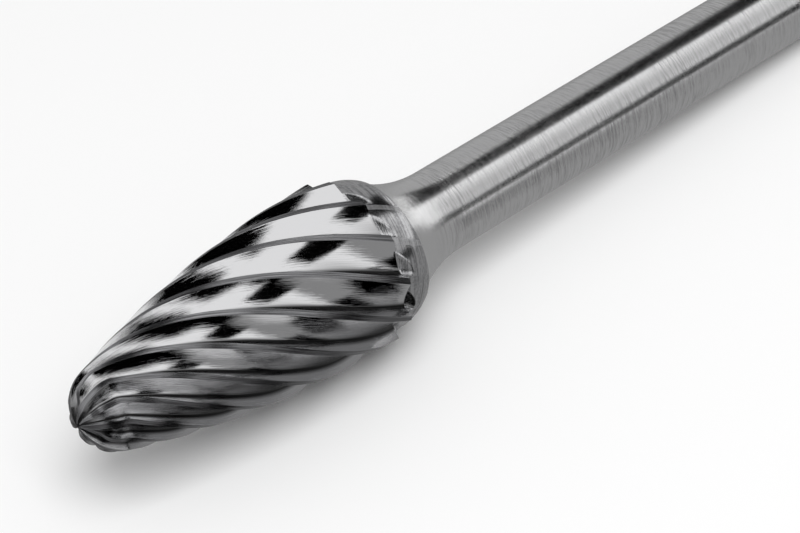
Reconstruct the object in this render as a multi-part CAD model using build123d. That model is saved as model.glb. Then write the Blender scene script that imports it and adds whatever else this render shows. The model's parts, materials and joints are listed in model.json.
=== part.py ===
from build123d import *
from math import asin, atan, atan2, cos, degrees, hypot, pi, radians, sin, sqrt, tan
import os

# A rotary burr for a die grinder: a tree-shaped carbide head with a rounded
# nose and helical teeth, brazed end to end onto a turned and ground steel shank.
# It is modelled along +X with the nose at x = 0, then laid down on its side.
# Lengths are millimetres and angles are degrees, turned to radians in the working.

# Cutting head
head_diameter = 12.0         # over the cutting edges at the widest section
nose_radius = 3.0            # rounded tip, over the cutting edges
widest_at = 22.5             # nose to the widest section
fluted_length = 23.2         # nose to the square rear ends of the teeth
band_diameter = 10.9         # plain ground band, just behind the teeth
band_crown_diameter = 10.74  # the same band half way along
shoulder_diameter = 9.7      # rear rim of the head
head_length = 25.7           # nose to the brazed face

# Teeth, ground into the head
tooth_count = 12             # even, because every second tooth stops short of the centre
helix_angle = 31.0           # of the cutting edges to the axis, right-hand
nose_helix_angle = 9.0       # of the same edges where they run in over the rounded nose
land_width = 0.43            # across the land at the widest section
flute_depth = 0.95           # below the cutting edges at the widest section
depth_fade = 0.7             # how the depth follows the radius towards the nose, 1 in proportion
back_angle = 40.0            # fall of a tooth's back, behind its land
floor_start = 0.85           # foot of the back, as a share of the flute's depth
rake_lean = 6.0              # the cutting face leans back, a negative rake
run_out_length = 0.9         # behind the teeth, while a flute rises out of the band
short_tooth_radius = 1.9     # from the axis, where the short teeth have sunk away
hollow_radius = 0.3          # small flat in the nose, where the long teeth meet
hollow_depth = 0.4           # of that flat below the tip
section_turn = 7.0           # of the helix from one section through the teeth to the next

# Shank
shank_diameter = 6.0
neck_diameter = 9.4          # flared end that carries the head
neck_length = 5.4            # of the hollow flare, down to the plain shank
overall_length = 70.0
end_chamfer = 0.4

# Derived sizes
head_radius = head_diameter / 2
band_radius = band_diameter / 2
floor_radius = head_radius - flute_depth
shank_radius = shank_diameter / 2
neck_end = head_length + neck_length
flank_radius = ((widest_at - nose_radius) ** 2 + head_radius**2 - nose_radius**2) / (
    2 * (head_radius - nose_radius)
)
nose_end_angle = pi / 2 - asin((widest_at - nose_radius) / (flank_radius - nose_radius))
nose_end = nose_radius * (1 - cos(nose_end_angle))
tooth_pitch = 2 * pi / tooth_count
land_angle = land_width / (cos(radians(helix_angle)) * head_radius)
flute_angle = tooth_pitch - land_angle
twist_rate = tan(radians(helix_angle))
nose_twist_rate = tan(radians(nose_helix_angle))


def crest_radius(x):
    """Radius over the cutting edges at a station x."""
    if x < nose_end:
        return sqrt(nose_radius**2 - (nose_radius - x) ** 2)
    return head_radius - flank_radius + sqrt(flank_radius**2 - (widest_at - x) ** 2)


def crest_normal(x):
    """Direction out of the crest surface at a station x, along the axis and away from it."""
    if x >= fluted_length:
        return 0, 1
    along = (x - nose_radius) / nose_radius if x < nose_end else (x - widest_at) / flank_radius
    return along, sqrt(1 - along**2)


def crest_point(x, turn, depth):
    """A point at a depth below the crest surface, at an angle round the axis."""
    along, away = crest_normal(x)
    radius = crest_radius(x) - depth * away
    return Vector(x - depth * along, radius * cos(turn), radius * sin(turn))


def depth_at(x):
    """Depth of the flutes at a station x."""
    return flute_depth * (crest_radius(x) / head_radius) ** depth_fade


def stations():
    """Stations of the sections, from the flat in the nose to the rear ends of the teeth."""
    x = nose_radius - sqrt(nose_radius**2 - hollow_radius**2)
    places = []
    while x < fluted_length - hollow_radius:
        places.append(x)
        x += radians(section_turn) * crest_radius(x) * crest_normal(x)[1] / twist_rate
    return places + [fluted_length]


def crest_lengths(places):
    """Length along the crest surface from the first station to each of them."""
    lengths = [0.0]
    for low, high in zip(places, places[1:]):
        lengths.append(lengths[-1] + hypot(high - low, crest_radius(high) - crest_radius(low)))
    return lengths


def helix_turns(places, lengths):
    """Angle round the axis of a cutting edge at each station, 0 at the rear ends of the teeth."""
    turns = [0.0]
    for i in range(1, len(places)):
        middle = (places[i - 1] + places[i]) / 2
        rate = twist_rate if middle > nose_end else nose_twist_rate
        turns.append(turns[-1] + rate * (lengths[i] - lengths[i - 1]) / crest_radius(middle))
    return [turn - turns[-1] for turn in turns]


def tooth_corners(x, turn):
    """Corners round all the teeth at a station: cutting edge, heel, foot of the back and root."""
    depth = depth_at(x)
    radius = crest_radius(x)
    fade = (1.4 * short_tooth_radius - radius) / (0.4 * short_tooth_radius)
    short_sunk = 0.9 * depth * min(max(fade, 0), 1)
    corners = []
    for i in range(tooth_count):
        sunk, next_sunk = (0, short_sunk) if i % 2 == 0 else (short_sunk, 0)
        edge_turn = turn + i * tooth_pitch
        heel_turn = edge_turn + land_angle
        foot = sunk + floor_start * (depth - sunk)
        back = (foot - sunk) / tan(radians(back_angle)) / radius
        face = (depth - next_sunk) * tan(radians(rake_lean)) / radius
        corners += [
            crest_point(x, edge_turn, sunk),
            crest_point(x, heel_turn, sunk),
            crest_point(x, heel_turn + back, foot),
            crest_point(x, edge_turn + tooth_pitch - face, depth),
        ]
    return corners


def hollow_corners(corners):
    """The same corners drawn in to the rim of the round flat in the nose."""
    flat = []
    for corner in corners:
        angle = atan2(corner.Z, corner.Y)
        flat.append(Vector(hollow_depth, hollow_radius * cos(angle), hollow_radius * sin(angle)))
    return flat


def make_teeth():
    """The toothed part of the head: a ruled skin between each two neighbouring corners' paths."""
    places = stations()
    lengths = crest_lengths(places)
    turns = helix_turns(places, lengths)
    rings = [tooth_corners(x, turn) for x, turn in zip(places, turns)]
    rings[0] = hollow_corners(rings[0])
    shares = [length / lengths[-1] for length in lengths]
    rails = [Edge.make_spline(list(path), parameters=shares) for path in zip(*rings)]
    skins = [
        Face.make_surface_from_curves(rail, following)
        for rail, following in zip(rails, rails[1:] + rails[:1])
    ]
    ends = [Face(Wire.make_polygon(ring)) for ring in (rings[0], rings[-1])]
    return Solid(Shell(skins + ends))


def run_out(ring, i):
    """Wedge cut from the band where a flute's rounded end rises out of it."""
    start = ring[4 * i + 1 : 4 * i + 4] + [ring[(4 * i + 4) % len(ring)]]
    clear = 1.1 * max(1, band_radius / head_radius)
    lid = [Vector(corner.X, corner.Y * clear, corner.Z * clear) for corner in (start[3], start[0])]
    mouth = Wire.make_polygon(start + lid)
    top = clear * head_radius
    reach = run_out_length * (top - floor_radius) / (band_radius - floor_radius)
    angle = atan2(start[2].Z, start[2].Y) + twist_rate * reach / head_radius
    end = Vertex(fluted_length + reach, top * cos(angle), top * sin(angle))
    return Solid.make_loft([mouth, end], ruled=True)


def make_band(ring):
    """The ground band and shoulder behind the teeth, notched where the flutes run out."""
    middle = (fluted_length + head_length) / 2
    outline = Wire(
        [
            Edge.make_line((fluted_length, 0), (fluted_length, band_radius)),
            Edge.make_three_point_arc(
                (fluted_length, band_radius),
                (middle, band_crown_diameter / 2),
                (head_length, shoulder_diameter / 2),
            ),
            Edge.make_line((head_length, shoulder_diameter / 2), (head_length, 0)),
            Edge.make_line((head_length, 0), (fluted_length, 0)),
        ]
    )
    band = revolve(Face(outline), Axis.X)
    if band_radius <= floor_radius:
        return band  # too thin for the flutes to reach
    return band - [run_out(ring, i) for i in range(tooth_count)]


def make_shank():
    """The shank, turned with a hollow flare up to the head and a chamfered end."""
    flare = neck_diameter / 2 - shank_radius
    neck_radius = (neck_length**2 + flare**2) / (2 * flare)
    half = asin(neck_length / neck_radius) / 2
    middle = (neck_end - neck_radius * sin(half), shank_radius + neck_radius * (1 - cos(half)))
    outline = Wire(
        [
            Edge.make_line((head_length, 0), (head_length, neck_diameter / 2)),
            Edge.make_three_point_arc(
                (head_length, neck_diameter / 2), middle, (neck_end, shank_radius)
            ),
            Edge.make_line((neck_end, shank_radius), (overall_length - end_chamfer, shank_radius)),
            Edge.make_line(
                (overall_length - end_chamfer, shank_radius),
                (overall_length, shank_radius - end_chamfer),
            ),
            Edge.make_line((overall_length, shank_radius - end_chamfer), (overall_length, 0)),
            Edge.make_line((overall_length, 0), (head_length, 0)),
        ]
    )
    return revolve(Face(outline), Axis.X)


def rest_angles():
    """Tilt of the axis, and the turn off a flute's middle, with two teeth and the shank's end down.

    One tooth stands on its rear corner. The helix brings the next one lower in front of its
    own rear corner, so the burr rolls until both reach equally far down.
    """
    low, high = 0.0, flute_angle / 2
    for _ in range(20):
        roll = (low + high) / 2
        reach = crest_radius(fluted_length) * cos(flute_angle / 2 - roll)
        slope = (reach - shank_radius) / (overall_length - end_chamfer - fluted_length)
        level = asin(slope / twist_rate)
        ahead = max(flute_angle / 2 + roll - level, 0) * head_radius / twist_rate
        next_reach = head_radius * cos(level) - slope * ahead
        low, high = (roll, high) if next_reach > reach else (low, roll)
    return degrees(atan(slope)), degrees(roll)


head = make_teeth() + make_band(tooth_corners(fluted_length, 0))
shank = make_shank()

# Laid down as it comes to rest
lay_angle, roll_angle = rest_angles()
gap_middle = degrees(land_angle + flute_angle / 2)
laid = Rot(0, lay_angle, 0) * Rot(-90 - gap_middle + roll_angle, 0, 0)
head = laid * head
shank = laid * shank
box = Compound([head, shank]).bounding_box()
stand = Pos(-box.center().X, -box.center().Y, -box.min.Z)

os.makedirs("parts", exist_ok=True)
export_step(stand * head, "parts/cutting_head.step")
export_step(stand * shank, "parts/shank.step")
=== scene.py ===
import json
import math

import bpy
from mathutils import Matrix, Vector


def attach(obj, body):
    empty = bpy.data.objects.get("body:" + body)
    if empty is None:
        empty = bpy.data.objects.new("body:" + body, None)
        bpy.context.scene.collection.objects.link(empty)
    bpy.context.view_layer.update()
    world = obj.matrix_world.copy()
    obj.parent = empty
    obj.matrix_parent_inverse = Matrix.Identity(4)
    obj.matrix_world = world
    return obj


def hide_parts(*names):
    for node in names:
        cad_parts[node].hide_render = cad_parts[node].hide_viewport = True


print("loading the frame")
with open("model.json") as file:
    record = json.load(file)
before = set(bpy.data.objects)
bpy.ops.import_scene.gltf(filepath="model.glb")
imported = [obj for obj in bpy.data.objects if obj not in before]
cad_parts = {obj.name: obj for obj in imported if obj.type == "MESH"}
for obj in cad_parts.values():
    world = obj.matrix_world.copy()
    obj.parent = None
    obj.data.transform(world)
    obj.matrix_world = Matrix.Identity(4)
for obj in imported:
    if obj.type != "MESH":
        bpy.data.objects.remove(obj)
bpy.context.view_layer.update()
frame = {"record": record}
mm = 0.001

# the burr's own line, from its nose to the free end of its shank
burrLine = {
    "overallLength": 70.0,   # mm
    "headLength": 25.7,
    "neckEnd": 31.1,         # where the plain shank starts
    "endChamfer": 0.4,
    "restRoll": 1.35,        # degrees that it rolls to stand on two teeth
}
# the shank's mount sits half way along its plain part
shankMount = next(m for m in frame["record"]["mounts"] if m["name"] == "shank")
burrAxis = Vector(shankMount["axis"]).normalized()
shankMiddle = (burrLine["neckEnd"] + burrLine["overallLength"] - burrLine["endChamfer"]) / 2
nosePole = Vector(shankMount["pos_m"]) - burrAxis * shankMiddle * mm
layAngle = math.atan2(-burrAxis.z, burrAxis.x)
burrPlace = Matrix.Translation(nosePole) @ Matrix.Rotation(layAngle, 4, "Y")


def nodeMaker(tree):
    nodes, links = tree.nodes, tree.links

    def put(socket, value):
        if isinstance(value, bpy.types.NodeSocket):
            links.new(value, socket)
        else:
            socket.default_value = value

    def add(kind, values=None, **settings):
        node = nodes.new(kind)
        for key, value in settings.items():
            setattr(node, key, value)
        for key, value in (values or {}).items():
            put(node.inputs[key], value)
        return node

    def calc(operation, *values):
        node = nodes.new("ShaderNodeMath")
        node.operation = operation
        for place, value in enumerate(values):
            put(node.inputs[place], value)
        return node.outputs[0]

    return add, calc


def link(name, data):
    made = bpy.data.objects.new(name, data)
    bpy.context.scene.collection.objects.link(made)
    return made


def putInPlace(name, mesh):
    # the mesh is drawn in mm along its own axis, then laid on the floor
    mesh.transform(burrPlace @ Matrix.Scale(mm, 4))
    return link(name, mesh)


def bakeNodes(name, tree, values):
    carrier = link(name + "Carrier", bpy.data.meshes.new(name + "Seed"))
    modifier = carrier.modifiers.new("shape", "NODES")
    modifier.node_group = tree
    for socket in tree.interface.items_tree:
        if socket.item_type == "SOCKET" and socket.in_out == "INPUT" and socket.name in values:
            modifier[socket.identifier] = values[socket.name]
    depsgraph = bpy.context.evaluated_depsgraph_get()
    mesh = bpy.data.meshes.new_from_object(carrier.evaluated_get(depsgraph))
    mesh.name = name
    mesh.materials.pop(index=0)   # the seed's own empty slot
    carrier.modifiers.remove(modifier)
    bpy.data.objects.remove(carrier)
    return putInPlace(name, mesh)


# sizes in mm, angles in radians: each one is a named input of the head's node tree
headShape = {
    "Head Radius": 6.0,
    "Nose Radius": 3.0,
    "Widest At": 22.5,
    "Fluted Length": 23.2,
    "Tooth Count": 12,
    "Helix Angle": math.radians(31.0),
    "Nose Helix Angle": math.radians(9.0),
    "Helix Blend": 0.35,         # half the way over which the helix changes
    "Land Width": 0.43,
    "Land Fade": 0.53,           # how the land narrows towards the nose
    "Least Land": 0.33,
    "Widest Land Share": 0.55,   # of the pitch, where the teeth close up
    "Land Relief": 0.04,         # how far the heel of a land lies below its edge
    "Flute Depth": 0.95,
    "Depth Fade": 0.7,           # how the flutes get shallower towards the nose
    "Back Curve": 2.4,
    "Rake Lean": math.radians(8.0),
    "Short Tooth Radius": 1.9,   # every second tooth fades out here
    "Short Tooth Gone": 0.7,     # of that radius
    "Short Tooth Whole": 1.2,
    "Short Tooth Sink": 0.95,    # of the flute's depth
    "Hollow Radius": 0.25,
    "Hollow Depth": 0.55,
    "Band Radius": 5.46,
    "Run Out": 0.9,              # how far the flutes run into the band
    "Head Length": burrLine["headLength"],
    "Shoulder Radius": 4.864,
    "Shoulder Curve": 2.6,
    "Phase": 0.0,                # set below
}
headGrid = {
    "toothRows": 210,
    "rowCrowding": 1.35,         # rows lie closer together on the nose
    "bandRows": 18,
    "perTooth": 26,              # columns from one tooth to the next
    "landColumns": 4,
    "faceStart": 17,
    "rootColumns": 2,            # on each side of the root, to round it
    "mergeDistance": 0.0005,     # mm
    "sharpFrom": math.radians(32),
}

# the gap between two lands faces the floor at the rear, so the head stands on both teeth
rearLandAngle = headShape["Land Width"] / math.cos(headShape["Helix Angle"]) / headShape["Head Radius"]
toothPitch = 2 * math.pi / headShape["Tooth Count"]
straightDown = math.radians(-90 + burrLine["restRoll"])
headShape["Phase"] = straightDown - (rearLandAngle + toothPitch) / 2


def crestPath():
    # the length of the crest from the pole to the end of the flutes
    noseRadius, headRadius = headShape["Nose Radius"], headShape["Head Radius"]
    reach, rise = headShape["Widest At"] - noseRadius, headRadius - noseRadius
    flankRadius = (reach**2 + headRadius**2 - noseRadius**2) / (2 * rise)
    tilt = math.asin(reach / (flankRadius - noseRadius))
    rear = math.asin((headShape["Fluted Length"] - headShape["Widest At"]) / flankRadius)
    return noseRadius * (math.pi / 2 - tilt) + flankRadius * (tilt + rear)


fluteLength = crestPath()


def headTree(finish):
    tree = bpy.data.node_groups.new("toothedHead", "GeometryNodeTree")
    tree.interface.new_socket("Geometry", in_out="OUTPUT", socket_type="NodeSocketGeometry")
    for label, value in headShape.items():
        kind = "NodeSocketInt" if isinstance(value, int) else "NodeSocketFloat"
        socket = tree.interface.new_socket(label, in_out="INPUT", socket_type=kind)
        socket.default_value = value
    add, calc = nodeMaker(tree)
    size = add("NodeGroupInput").outputs
    headRadius, noseRadius, widestAt = size["Head Radius"], size["Nose Radius"], size["Widest At"]
    flutedLength, toothCount = size["Fluted Length"], size["Tooth Count"]

    toothRows, bandRows = headGrid["toothRows"], headGrid["bandRows"]
    perTooth, landColumns = headGrid["perTooth"], headGrid["landColumns"]
    faceStart = headGrid["faceStart"]
    rows = toothRows + bandRows + 3   # with the pole, the step to the band and the rear face
    columns = calc("ADD", calc("MULTIPLY", toothCount, perTooth), 1)
    grid = add("GeometryNodeMeshGrid", {"Vertices X": columns, "Vertices Y": rows})
    index = add("GeometryNodeInputIndex").outputs[0]
    row = calc("FLOORED_MODULO", index, rows)
    column = calc("FLOOR", calc("DIVIDE", calc("ADD", index, 0.5), rows))

    # the meridian: a nose arc, then a long flank arc, both followed by path length
    overNose = calc("SUBTRACT", headRadius, noseRadius)
    reach = calc("SUBTRACT", widestAt, noseRadius)
    flankRadius = calc(
        "DIVIDE",
        calc(
            "SUBTRACT",
            calc("ADD", calc("POWER", reach, 2), calc("POWER", headRadius, 2)),
            calc("POWER", noseRadius, 2),
        ),
        calc("MULTIPLY", overNose, 2),
    )
    flankTilt = calc("ARCSINE", calc("DIVIDE", reach, calc("SUBTRACT", flankRadius, noseRadius)))
    noseSpan = calc("SUBTRACT", math.pi / 2, flankTilt)
    noseArc = calc("MULTIPLY", noseRadius, noseSpan)
    rearTilt = calc("ARCSINE", calc("DIVIDE", calc("SUBTRACT", flutedLength, widestAt), flankRadius))
    flankArc = calc("MULTIPLY", flankRadius, calc("ADD", flankTilt, rearTilt))
    wholeArc = calc("ADD", noseArc, flankArc)
    firstArc = calc(
        "MULTIPLY", noseRadius, calc("ARCSINE", calc("DIVIDE", size["Hollow Radius"], noseRadius))
    )

    def meridian(share):
        path = calc(
            "ADD",
            firstArc,
            calc(
                "MULTIPLY",
                calc("SUBTRACT", wholeArc, firstArc),
                calc("POWER", share, headGrid["rowCrowding"]),
            ),
        )
        onFlank = calc("GREATER_THAN", path, noseArc)
        onNose = calc("SUBTRACT", 1, onFlank)

        def either(forNose, forFlank):
            return calc("ADD", calc("MULTIPLY", forNose, onNose), calc("MULTIPLY", forFlank, onFlank))

        radius = either(noseRadius, flankRadius)
        centreX = either(noseRadius, widestAt)
        centreR = calc("MULTIPLY", calc("SUBTRACT", headRadius, flankRadius), onFlank)
        lean = either(
            calc("DIVIDE", path, noseRadius),
            calc("ADD", noseSpan, calc("DIVIDE", calc("SUBTRACT", path, noseArc), flankRadius)),
        )
        crest = calc("ADD", centreR, calc("MULTIPLY", radius, calc("SINE", lean)))
        return path, radius, centreX, centreR, lean, crest

    step = 1 / (toothRows - 1)
    here = calc("MINIMUM", calc("MAXIMUM", calc("MULTIPLY", calc("SUBTRACT", row, 1), step), 0), 1)
    before = calc("MAXIMUM", calc("SUBTRACT", here, step), 0)
    path, radius, centreX, centreR, lean, crest = meridian(here)
    pathBefore = meridian(before)[0]
    halfWay = meridian(calc("MULTIPLY", calc("ADD", here, before), 0.5))
    pathMid, crestMid = halfWay[0], halfWay[5]

    # the helix: a constant angle to the meridian, smaller over the nose, summed row by row
    isTooth = calc("LESS_THAN", row, toothRows + 0.5)
    rearTwist = calc("TANGENT", size["Helix Angle"])
    twistRate = add(
        "ShaderNodeMapRange",
        {
            "Value": pathMid,
            "From Min": calc("SUBTRACT", noseArc, size["Helix Blend"]),
            "From Max": calc("ADD", noseArc, size["Helix Blend"]),
            "To Min": calc("TANGENT", size["Nose Helix Angle"]),
            "To Max": rearTwist,
        },
        interpolation_type="SMOOTHSTEP",
    ).outputs[0]
    stepTurn = calc(
        "MULTIPLY",
        calc("MULTIPLY", twistRate, isTooth),
        calc("DIVIDE", calc("SUBTRACT", path, pathBefore), crestMid),
    )
    summed = add("GeometryNodeAccumulateField", {"Value": stepTurn, "Group ID": column})
    turn = calc("SUBTRACT", summed.outputs["Leading"], summed.outputs["Total"])

    # one tooth: a land with a little relief, then a flute with a hollow back and a straight face
    place = calc("FLOORED_MODULO", column, perTooth)
    tooth = calc("FLOOR", calc("DIVIDE", calc("ADD", column, 0.5), perTooth))
    sizeShare = calc("DIVIDE", crest, headRadius)
    depth = calc("MULTIPLY", size["Flute Depth"], calc("POWER", sizeShare, size["Depth Fade"]))
    pitch = calc("DIVIDE", 2 * math.pi, toothCount)
    landWidth = calc(
        "MAXIMUM",
        calc("MULTIPLY", size["Land Width"], calc("POWER", sizeShare, size["Land Fade"])),
        size["Least Land"],
    )
    landAngle = calc(
        "MINIMUM",
        calc("DIVIDE", calc("DIVIDE", landWidth, calc("COSINE", size["Helix Angle"])), crest),
        calc("MULTIPLY", pitch, size["Widest Land Share"]),
    )
    fluteAngle = calc("SUBTRACT", pitch, landAngle)

    shortRadius = size["Short Tooth Radius"]
    fade = add(
        "ShaderNodeMapRange",
        {
            "Value": crest,
            "From Min": calc("MULTIPLY", shortRadius, size["Short Tooth Gone"]),
            "From Max": calc("MULTIPLY", shortRadius, size["Short Tooth Whole"]),
            "To Min": size["Short Tooth Sink"],
            "To Max": 0.0,
        },
        interpolation_type="SMOOTHSTEP",
    ).outputs[0]
    isShort = calc("FLOORED_MODULO", tooth, 2)
    ownSunk = calc("MULTIPLY", calc("MULTIPLY", depth, fade), isShort)
    nextSunk = calc("MULTIPLY", calc("MULTIPLY", depth, fade), calc("SUBTRACT", 1, isShort))
    heelSunk = calc("ADD", ownSunk, calc("MULTIPLY", size["Land Relief"], sizeShare))
    faceWidth = calc(
        "DIVIDE",
        calc("MULTIPLY", calc("SUBTRACT", depth, nextSunk), calc("TANGENT", size["Rake Lean"])),
        calc("MULTIPLY", fluteAngle, crest),
    )

    def between(low, high, at):
        share = calc("DIVIDE", calc("SUBTRACT", at, low), high - low)
        return calc("MINIMUM", calc("MAXIMUM", share, 0), 1)

    def mixed(low, high, share):
        rest = calc("SUBTRACT", 1, share)
        return calc("ADD", calc("MULTIPLY", low, rest), calc("MULTIPLY", high, share))

    def profile(at):
        land = between(0, landColumns, at)
        back = between(landColumns, faceStart, at)
        face = between(faceStart, perTooth, at)
        across = mixed(calc("MULTIPLY", back, calc("SUBTRACT", 1, faceWidth)), 1.0, face)
        fall = calc("SUBTRACT", 1, calc("POWER", calc("SUBTRACT", 1, back), size["Back Curve"]))
        sunk = mixed(mixed(mixed(ownSunk, heelSunk, land), depth, fall), nextSunk, face)
        onto = calc("ADD", calc("MULTIPLY", land, landAngle), calc("MULTIPLY", across, fluteAngle))
        return onto, sunk

    # the root is rounded between its neighbours on the back and on the face
    rootSpan = headGrid["rootColumns"]
    acrossRoot = between(faceStart - rootSpan, faceStart + rootSpan, place)
    atRoot = calc("COMPARE", place, faceStart, rootSpan - 0.5)
    ends = [profile(faceStart + offset) for offset in (-rootSpan, 0, rootSpan)]
    angleOff, sunk = [
        mixed(
            plain,
            mixed(mixed(first, middle, acrossRoot), mixed(middle, last, acrossRoot), acrossRoot),
            atRoot,
        )
        for plain, first, middle, last in zip(profile(place), *ends)
    ]
    angle = calc(
        "ADD",
        calc("ADD", calc("MULTIPLY", tooth, pitch), calc("ADD", turn, size["Phase"])),
        angleOff,
    )
    inner = calc("SUBTRACT", radius, sunk)
    toothX = calc("SUBTRACT", centreX, calc("MULTIPLY", inner, calc("COSINE", lean)))
    toothX = calc("MINIMUM", toothX, flutedLength)
    toothR = calc("ADD", centreR, calc("MULTIPLY", inner, calc("SINE", lean)))

    # the pole of the nose
    isPole = calc("LESS_THAN", row, 0.5)
    x = calc(
        "ADD",
        calc("MULTIPLY", toothX, calc("SUBTRACT", 1, isPole)),
        calc("MULTIPLY", size["Hollow Depth"], isPole),
    )
    r = calc("MULTIPLY", toothR, calc("SUBTRACT", 1, isPole))

    # the ground band behind the teeth, with each flute rising out of it, and the closed rear face
    isBand = calc("SUBTRACT", 1, isTooth)
    bandShare = calc("DIVIDE", calc("SUBTRACT", row, toothRows + 1), bandRows)
    bandShare = calc("MINIMUM", calc("MAXIMUM", bandShare, 0), 1)
    behind = calc("MULTIPLY", calc("SUBTRACT", size["Head Length"], flutedLength), bandShare)
    drop = calc("SUBTRACT", size["Band Radius"], size["Shoulder Radius"])
    fallen = calc("MULTIPLY", drop, calc("POWER", bandShare, size["Shoulder Curve"]))
    bandR = calc("SUBTRACT", size["Band Radius"], fallen)
    bandStep = calc("SUBTRACT", headRadius, size["Band Radius"])
    climb = calc("SUBTRACT", size["Flute Depth"], bandStep)
    rise = calc("MULTIPLY", calc("DIVIDE", behind, size["Run Out"]), climb)
    bandR = calc("MINIMUM", bandR, calc("ADD", toothR, rise))
    isLast = calc("GREATER_THAN", row, rows - 1.5)
    bandR = calc("MULTIPLY", bandR, calc("SUBTRACT", 1, isLast))
    bandX = calc("ADD", flutedLength, behind)
    x = calc("ADD", calc("MULTIPLY", x, isTooth), calc("MULTIPLY", bandX, isBand))
    r = calc("ADD", calc("MULTIPLY", r, isTooth), calc("MULTIPLY", bandR, isBand))
    angle = calc("ADD", angle, calc("MULTIPLY", calc("DIVIDE", behind, headRadius), rearTwist))

    y, z = calc("MULTIPLY", r, calc("COSINE", angle)), calc("MULTIPLY", r, calc("SINE", angle))
    spot = add("ShaderNodeCombineXYZ", {"X": x, "Y": y, "Z": z})

    # the pattern's own map: teeth round the head one way, mm along the crest the other
    onBandPath = calc("MULTIPLY", calc("ADD", wholeArc, behind), isBand)
    along = calc("ADD", calc("MULTIPLY", path, isTooth), onBandPath)
    around = calc("DIVIDE", column, perTooth)
    pattern = add("ShaderNodeCombineXYZ", {"X": around, "Y": along, "Z": 0.0})
    onPoints = add(
        "GeometryNodeFieldOnDomain", {0: pattern.outputs[0]}, data_type="FLOAT_VECTOR", domain="POINT"
    )
    stored = add(
        "GeometryNodeStoreNamedAttribute",
        {"Geometry": grid.outputs["Mesh"], "Name": "toothMap", "Value": onPoints.outputs[0]},
        data_type="FLOAT2",
        domain="CORNER",
    )
    moved = add("GeometryNodeSetPosition", {"Geometry": stored.outputs[0], "Position": spot.outputs[0]})
    closed = add(
        "GeometryNodeMergeByDistance",
        {"Geometry": moved.outputs[0], "Distance": headGrid["mergeDistance"]},
    )
    bend = add("GeometryNodeInputMeshEdgeAngle").outputs["Unsigned Angle"]
    gentle = add("FunctionNodeCompare", {"A": bend, "B": headGrid["sharpFrom"]}, operation="LESS_THAN")
    smoothFaces = add(
        "GeometryNodeSetShadeSmooth", {"Geometry": closed.outputs[0], "Shade Smooth": True}
    )
    smoothEdges = add(
        "GeometryNodeSetShadeSmooth",
        {"Geometry": smoothFaces.outputs[0], "Shade Smooth": gentle.outputs[0]},
        domain="EDGE",
    )
    real = add("GeometryNodeRealizeInstances", {"Geometry": smoothEdges.outputs[0]})
    dressed = add("GeometryNodeSetMaterial", {"Geometry": real.outputs[0], "Material": finish})
    output = add("NodeGroupOutput")
    tree.links.new(dressed.outputs[0], output.inputs[0])
    return tree


carbideFinish = {
    "polished": (0.70, 0.70, 0.71, 1),   # flutes
    "ground": (0.13, 0.13, 0.135, 1),    # lands, ground off the wheel; their dark colour is painted shade
    "landStreak": (0.32, 0.32, 0.33, 1),
    "band": (0.62, 0.62, 0.63, 1),
    "bandScore": (0.30, 0.30, 0.31, 1),  # scratches left on the band
    "face": (0.58, 0.58, 0.59, 1),       # rake faces
    "root": (0.02, 0.02, 0.02, 1),       # painted shade: a black line where a flute meets the next rake face
    "gullyShade": (0.03, 0.03, 0.03, 1),      # painted shade: the flutes darkened where they close up on the nose
    "gullyShadeReach": (0.6, 3.4),            # mm from the pole, from full painted shade to polished
    "faceEdge": (-0.01, 0.02),           # shares of a tooth, counted from its root
    "rootShadeStarts": (-0.12, -0.02),
    "rootShadeStops": (0.04, 0.2),
    "bandEdge": 0.02,                    # mm behind the flutes
    "fluteRoughness": 0.04,
    "streakRoughness": 0.05,
    "landRoughness": 0.22,
    "bandRoughness": 0.19,
    "streaks": 46.0,                     # grinding lines across one tooth
    "streakRun": 0.22,                   # the smaller, the longer they run
    "streakEdge": (0.42, 0.62),
    "scratches": 9.0,                    # across a mm of the band
    "scratchRun": 0.9,
    "scratchEdge": (0.40, 0.66),
    "scratchSlant": 0.75,                # mm that they climb from tooth to tooth
    "scratchShift": 3.7,                 # picks another part of the noise
    "speckScale": 5200.0,
    "speckShare": 0.3,                   # of a speck in a scratch
    "bumpHeight": 0.00002,               # metres
    "fluteBump": 0.6,
    "bandBump": 0.35,
    "speckBump": 0.10,
}
steelFinish = {
    "colour": (0.86, 0.86, 0.865, 1),
    "ringColour": (0.60, 0.60, 0.605, 1),
    "roughness": 0.20,
    "ringsPerMetre": 6500.0,
    "ringBreaks": 520.0,                 # how often a ring breaks off, per metre
    "ringBump": 0.5,
    "bumpHeight": 0.00004,               # metres
    "ringsFrom": (-0.0085, -0.0035),     # metres along the burr, where the neck runs out
    "neckRings": 0.12,                   # what is left of them on the neck
    "ringEdge": (0.42, 0.68),
    "cloudEdge": (0.35, 0.6),            # clouds let the rings fade in patches
    "cloudRings": 0.35,                  # what is left of them there
    "cloudScale": 180.0,
    "ringRoughness": 0.18,
    "cloudRoughness": 0.10,
}


def material(name):
    made = bpy.data.materials.new(name)
    made.use_nodes = True
    made.node_tree.nodes.clear()
    add, calc = nodeMaker(made.node_tree)
    return made, add, calc


def coat(made, add, shader):
    output = add("ShaderNodeOutputMaterial")
    made.node_tree.links.new(shader.outputs[0], output.inputs["Surface"])
    return made


def metalShader(add, colour, rough, bump):
    return add(
        "ShaderNodeBsdfPrincipled",
        {"Metallic": 1.0, "Base Color": colour, "Roughness": rough, "Normal": bump.outputs[0]},
    )


def ramp(add, value, low, high, toLow=0.0, toHigh=1.0):
    return add(
        "ShaderNodeMapRange",
        {"Value": value, "From Min": low, "From Max": high, "To Min": toLow, "To Max": toHigh},
        interpolation_type="SMOOTHSTEP",
    ).outputs[0]


def blend(add, mask, under, over):
    mix = add("ShaderNodeMix", {"Factor": mask, "A": under, "B": over}, data_type="RGBA")
    return mix.outputs["Result"]


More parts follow.
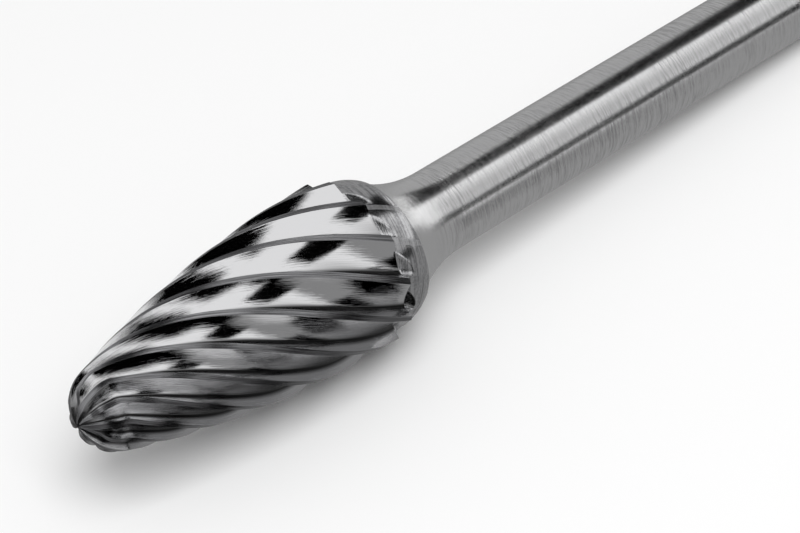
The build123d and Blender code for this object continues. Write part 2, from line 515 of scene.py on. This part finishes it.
def noise(add, spot, detail, roughness=0.5, scale=1.0):
    return add(
        "ShaderNodeTexNoise",
        {"Vector": spot, "Scale": scale, "Detail": detail, "Roughness": roughness},
    ).outputs[0]


def carbideMaterial():
    made, add, calc = material("carbide")
    look = carbideFinish
    toothMap = add("ShaderNodeUVMap", uv_map="toothMap").outputs[0]
    parts = add("ShaderNodeSeparateXYZ", {0: toothMap}).outputs
    tooth, crestPlace = parts["X"], parts["Y"]

    # which part of the tooth it is
    share = calc("FRACT", tooth)
    landEnd = headGrid["landColumns"] / headGrid["perTooth"]
    root = headGrid["faceStart"] / headGrid["perTooth"]
    onBand = calc("GREATER_THAN", crestPlace, fluteLength + look["bandEdge"])
    onTooth = calc("SUBTRACT", 1, onBand)
    onLand = calc("LESS_THAN", share, landEnd)
    onFace = ramp(add, share, *[root + edge for edge in look["faceEdge"]])
    # painted shade: a dark line along each root, in the crease where a flute meets the next rake face
    intoRootShade = ramp(add, share, *[root + edge for edge in look["rootShadeStarts"]])
    outOfRootShade = ramp(add, share, *[root + edge for edge in look["rootShadeStops"]], 1.0, 0.0)
    inRootShade = calc("MULTIPLY", intoRootShade, outOfRootShade)
    # painted shade: the flutes get darker towards the pole of the nose, where they lie deep between the
    # teeth
    inGullyShade = ramp(add, crestPlace, *look["gullyShadeReach"], 1.0, 0.0)
    offWheel = calc("MINIMUM", calc("ADD", onLand, onBand), 1)

    # grinding lines that follow the helix in the flutes and run round the band aslant
    streakSpot = add(
        "ShaderNodeCombineXYZ",
        {
            "X": calc("MULTIPLY", tooth, look["streaks"]),
            "Y": calc("MULTIPLY", crestPlace, look["streakRun"]),
            "Z": 0.0,
        },
    ).outputs[0]
    streaks = noise(add, streakSpot, 3.0, 0.65)
    climb = calc("ADD", crestPlace, calc("MULTIPLY", tooth, look["scratchSlant"]))
    scratchSpot = add(
        "ShaderNodeCombineXYZ",
        {
            "X": calc("MULTIPLY", climb, look["scratches"]),
            "Y": calc("MULTIPLY", tooth, look["scratchRun"]),
            "Z": look["scratchShift"],
        },
    ).outputs[0]
    scratches = noise(add, scratchSpot, 5.0, 0.7)
    spot = add("ShaderNodeTexCoord").outputs["Object"]
    specks = noise(add, spot, 2.0, 0.6, look["speckScale"])

    colour = blend(add, inGullyShade, look["polished"], look["gullyShade"])
    # painted shade: the lands are coloured far darker than the polished flutes, under their real
    # grinding streaks
    shadedLandColour = blend(add, ramp(add, streaks, *look["streakEdge"]), look["ground"], look["landStreak"])
    colour = blend(add, onLand, colour, shadedLandColour)
    colour = blend(add, calc("MULTIPLY", onFace, onTooth), colour, look["face"])
    colour = blend(add, calc("MULTIPLY", inRootShade, onTooth), colour, look["root"])
    speckled = calc("MULTIPLY", calc("SUBTRACT", specks, 0.5), look["speckShare"])
    scored = ramp(add, calc("ADD", scratches, speckled), *look["scratchEdge"])
    bandColour = blend(add, scored, look["band"], look["bandScore"])
    colour = blend(add, onBand, colour, bandColour)

    fluteRough = calc("ADD", look["fluteRoughness"], calc("MULTIPLY", streaks, look["streakRoughness"]))
    rough = calc("MULTIPLY", fluteRough, calc("SUBTRACT", 1, offWheel))
    rough = calc("ADD", rough, calc("MULTIPLY", onLand, look["landRoughness"]))
    rough = calc("ADD", rough, calc("MULTIPLY", onBand, look["bandRoughness"]))

    height = calc(
        "ADD",
        calc("MULTIPLY", calc("MULTIPLY", streaks, onTooth), look["fluteBump"]),
        calc("MULTIPLY", calc("MULTIPLY", scratches, onBand), look["bandBump"]),
    )
    height = calc("ADD", height, calc("MULTIPLY", calc("MULTIPLY", specks, offWheel), look["speckBump"]))
    bump = add("ShaderNodeBump", {"Height": height, "Strength": 1.0, "Distance": look["bumpHeight"]})
    return coat(made, add, metalShader(add, colour, rough, bump))


def steelMaterial():
    made, add, calc = material("groundSteel")
    look = steelFinish
    spot = add("ShaderNodeTexCoord").outputs["Object"]
    alongShank = add("ShaderNodeMapping", {"Vector": spot, "Rotation": (0.0, -layAngle, 0.0)}).outputs[0]
    parts = add("ShaderNodeSeparateXYZ", {0: alongShank}).outputs
    ringSpot = add(
        "ShaderNodeCombineXYZ",
        {
            "X": calc("MULTIPLY", parts["X"], look["ringsPerMetre"]),
            "Y": calc("MULTIPLY", parts["Y"], look["ringBreaks"]),
            "Z": calc("MULTIPLY", parts["Z"], look["ringBreaks"]),
        },
    ).outputs[0]
    rings = noise(add, ringSpot, 4.0, 0.7)
    cloud = noise(add, spot, 3.0, scale=look["cloudScale"])

    inPatches = ramp(add, cloud, *look["cloudEdge"], look["cloudRings"], 1.0)
    ringTone = calc("MULTIPLY", ramp(add, rings, *look["ringEdge"]), inPatches)
    pastNeck = ramp(add, parts["X"], *look["ringsFrom"], look["neckRings"], 1.0)
    colour = blend(add, calc("MULTIPLY", ringTone, pastNeck), look["colour"], look["ringColour"])
    fromRings = calc("MULTIPLY", calc("SUBTRACT", rings, 0.5), look["ringRoughness"])
    fromCloud = calc("MULTIPLY", calc("SUBTRACT", cloud, 0.5), look["cloudRoughness"])
    rough = calc("ADD", calc("ADD", look["roughness"], fromRings), fromCloud)
    bump = add(
        "ShaderNodeBump",
        {"Height": rings, "Strength": look["ringBump"], "Distance": look["bumpHeight"]},
    )
    return coat(made, add, metalShader(add, colour, rough, bump))


print("toothed head")
toothedHead = bakeNodes("toothedHead", headTree(carbideMaterial()), headShape)
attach(toothedHead, "root")
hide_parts("cutting_head")
print("head faces", len(toothedHead.data.polygons))

print("shank")
shankShape = {
    "neckRadius": 4.7,       # mm, where it meets the head
    "shankRadius": 3.0,
    "segments": 160,
    "flareSteps": 24,
    "sharpFrom": math.radians(35),
}


def shankOutline():
    headEnd, neckEnd = burrLine["headLength"], burrLine["neckEnd"]
    endPlace, chamfer = burrLine["overallLength"], burrLine["endChamfer"]
    radius = shankShape["shankRadius"]
    flare = shankShape["neckRadius"] - radius
    neckLength = neckEnd - headEnd
    arcRadius = (neckLength**2 + flare**2) / (2 * flare)
    span = math.asin(neckLength / arcRadius)
    outline = [(headEnd, 0.0)]
    for step in range(shankShape["flareSteps"] + 1):
        angle = span * (1 - step / shankShape["flareSteps"])
        x = neckEnd - arcRadius * math.sin(angle)
        outline.append((x, radius + arcRadius * (1 - math.cos(angle))))
    outline += [(endPlace - chamfer, radius), (endPlace, radius - chamfer), (endPlace, 0.0)]
    return outline


def turned(name, outline, segments):
    vertices, faces, rings = [], [], []
    for x, r in outline:
        if r == 0:
            rings.append([len(vertices)])
            vertices.append((x, 0, 0))
            continue
        rings.append(list(range(len(vertices), len(vertices) + segments)))
        for step in range(segments):
            angle = 2 * math.pi * step / segments
            vertices.append((x, r * math.cos(angle), r * math.sin(angle)))
    for low, high in zip(rings, rings[1:]):
        for step in range(segments):
            following = (step + 1) % segments
            corners = [low[step % len(low)], low[following % len(low)]]
            corners += [high[following % len(high)], high[step % len(high)]]
            faces.append(list(dict.fromkeys(corners)))   # three corners at the middle of an end
    mesh = bpy.data.meshes.new(name)
    mesh.from_pydata(vertices, [], faces)
    return putInPlace(name, mesh)


turnedShank = turned("turnedShank", shankOutline(), shankShape["segments"])
turnedShank.data.materials.append(steelMaterial())
turnedShank.data.shade_smooth()
turnedShank.data.set_sharp_from_angle(angle=shankShape["sharpFrom"])
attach(turnedShank, "root")
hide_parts("shank")

print("floor and light")
studio = {
    "floorSize": 3.0,        # metres
    "floorColour": (0.9, 0.9, 0.9, 1),
    "lampPower": 3.0,        # watts
    "lampSize": 0.5,
    "lampPlace": (-0.1, -0.25, 0.6),
    "worldLight": 0.55,
    "groundInGloss": 0.3,    # what metal sees below the horizon
    "horizon": (-0.06, 0.02),   # heights between which that ground turns to sky
}


def floorMaterial():
    made, add, _ = material("paleFloor")
    return coat(made, add, add("ShaderNodeBsdfDiffuse", {"Color": studio["floorColour"]}))


floorMesh = bpy.data.meshes.new("floor")
half = studio["floorSize"] / 2
floorCorners = [(-half, -half, 0), (half, -half, 0), (half, half, 0), (-half, half, 0)]
floorMesh.from_pydata(floorCorners, [], [(0, 1, 2, 3)])
floorMesh.materials.append(floorMaterial())
floor = link("floor", floorMesh)
floor.visible_glossy = False

# flags are black and boards are grey: metal reflects them and nothing else sees them
cardStand = {
    "distance": 0.30,        # metres to the first card; each next one stands a little behind it
    "setBack": 0.03,
    "aimAt": 14.0,           # mm from the nose
}
cards = {
    # name: turn and height of the two ends in degrees, width in degrees, brightness, soft edge
    "overheadFlag": ((80, 42), (-165, 68), 25, 0.0, 0.04),
    "cameraFlag": ((-139, 52), (-128, -28), 30, 0.0, 0.04),
    "handFlag": ((-113, 14), (-113, -13), 10, 0.0, 0.04),
    "frontFlag": ((-84, 46), (-106, -9), 12, 0.0, 0.04),
    "bandFlag": ((-8, 66), (16, 8), 24, 0.0, 0.12),
    "sideFlag": ((-66, 10), (-28, 2), 13, 0.0, 0.08),
    "lowFlag": ((-66, -5), (-70, -36), 19, 0.0, 0.08),
    # painted shadow: this black card below the burr stands for its shadow on the floor, as metal
    # reflects it
    "underShadowFlag": ((-94, -44), (-60, -80), 28, 0.0, 0.08),
    "edgeFlag": ((-54, 27), (-56, 6), 8, 0.0, 0.2),
    "lowBoard": ((-113, -24), (-110, -72), 20, 0.62, 0.25),
    "sideBoard": ((-44, 60), (-44, -4), 74, 0.44, 0.5),
    "farBoard": ((52, 58), (52, -8), 54, 0.38, 0.06),
}


def direction(turn, height):
    turn, height = math.radians(turn), math.radians(height)
    level = math.cos(height)
    return Vector((level * math.cos(turn), level * math.sin(turn), math.sin(height)))


def cardMaterial(name, brightness, soft):
    made, add, calc = material(name)
    glow = add("ShaderNodeEmission", {"Color": (1, 1, 1, 1), "Strength": brightness})
    clear = add("ShaderNodeBsdfTransparent")
    cardMap = add("ShaderNodeUVMap", uv_map="cardMap").outputs[0]
    parts = add("ShaderNodeSeparateXYZ", {0: cardMap}).outputs
    cover = 1.0
    for part in ("X", "Y"):
        inward = calc("SUBTRACT", 0.5, calc("ABSOLUTE", calc("SUBTRACT", parts[part], 0.5)))
        cover = calc("MULTIPLY", cover, ramp(add, inward, 0.0, soft))
    faded = add("ShaderNodeMixShader", {0: cover, 1: clear.outputs[0], 2: glow.outputs[0]})
    return coat(made, add, faded)


def putCard(name, distance, first, last, width, brightness, soft):
    centre = burrPlace @ Vector((cardStand["aimAt"] * mm, 0, 0))
    ends = [direction(*first), direction(*last)]
    side = ends[0].cross(ends[1]).normalized() * math.tan(math.radians(width / 2))
    spans = [ends[0] - side, ends[0] + side, ends[1] + side, ends[1] - side]
    mesh = bpy.data.meshes.new(name)
    mesh.from_pydata([centre + span * distance for span in spans], [], [(0, 1, 2, 3)])
    cardMap = mesh.uv_layers.new(name="cardMap")
    for corner, spot in zip(cardMap.data, ((0, 0), (1, 0), (1, 1), (0, 1))):
        corner.uv = spot
    mesh.materials.append(cardMaterial(name, brightness, soft))
    card = link(name, mesh)
    card.visible_camera = card.visible_diffuse = card.visible_shadow = False
    card.visible_transmission = card.visible_volume_scatter = False


for order, (name, values) in enumerate(cards.items()):
    putCard(name, cardStand["distance"] * (1 + cardStand["setBack"] * order), *values)

world = bpy.data.worlds.new("studio")
bpy.context.scene.world = world
world.use_nodes = True
world.node_tree.nodes.clear()
addWorld, calcWorld = nodeMaker(world.node_tree)

# white for the camera, plain light for matt surfaces, white sky over grey ground for metal
rays = addWorld("ShaderNodeLightPath").outputs
towards = addWorld("ShaderNodeTexCoord").outputs["Generated"]
skyward = addWorld("ShaderNodeSeparateXYZ", {0: towards}).outputs["Z"]
inGloss = ramp(addWorld, skyward, *studio["horizon"], studio["groundInGloss"], 1.0)
seen = calcWorld("MAXIMUM", rays["Is Camera Ray"], rays["Is Transmission Ray"])
strength = calcWorld("ADD", calcWorld("MULTIPLY", seen, 1 - studio["worldLight"]), studio["worldLight"])
glossExtra = calcWorld("SUBTRACT", inGloss, studio["worldLight"])
strength = calcWorld("ADD", strength, calcWorld("MULTIPLY", rays["Is Glossy Ray"], glossExtra))
background = addWorld("ShaderNodeBackground", {"Color": (1, 1, 1, 1), "Strength": strength})
worldOutput = addWorld("ShaderNodeOutputWorld")
world.node_tree.links.new(background.outputs[0], worldOutput.inputs["Surface"])

lampData = bpy.data.lights.new("softbox", "AREA")
lampData.energy = studio["lampPower"]
lampData.size = studio["lampSize"]
lamp = link("softbox", lampData)
lamp.location = studio["lampPlace"]
lamp.rotation_euler = (-Vector(studio["lampPlace"])).to_track_quat("-Z", "Y").to_euler()
lamp.visible_glossy = False

print("camera")
view = {
    "frameWidth": 800,       # pixels
    "focalPixels": 2757.5,
    "sensorWidth": 36.0,     # mm
    "place": (-70.74, -113.19, 110.63),   # mm, in the burr's own frame
    "target": (23.31, -4.75, 2.02),
    "roll": math.radians(7.32),
    "nearest": 0.01,         # metres
}


def aimCamera():
    place = burrPlace @ (Vector(view["place"]) * mm)
    forward = (burrPlace @ (Vector(view["target"]) * mm) - place).normalized()
    level = forward.cross(Vector((0, 0, 1))).normalized()
    right = Matrix.Rotation(view["roll"], 3, forward) @ level
    aimed = Matrix((right, right.cross(forward), -forward)).transposed().to_4x4()
    aimed.translation = place
    return aimed


cameraData = bpy.data.cameras.new("camera")
cameraData.sensor_width = view["sensorWidth"]
cameraData.lens = view["focalPixels"] / view["frameWidth"] * cameraData.sensor_width
cameraData.clip_start = view["nearest"]
camera = link("camera", cameraData)
camera.matrix_world = aimCamera()
bpy.context.scene.camera = camera
bpy.context.scene.view_settings.view_transform = "Standard"
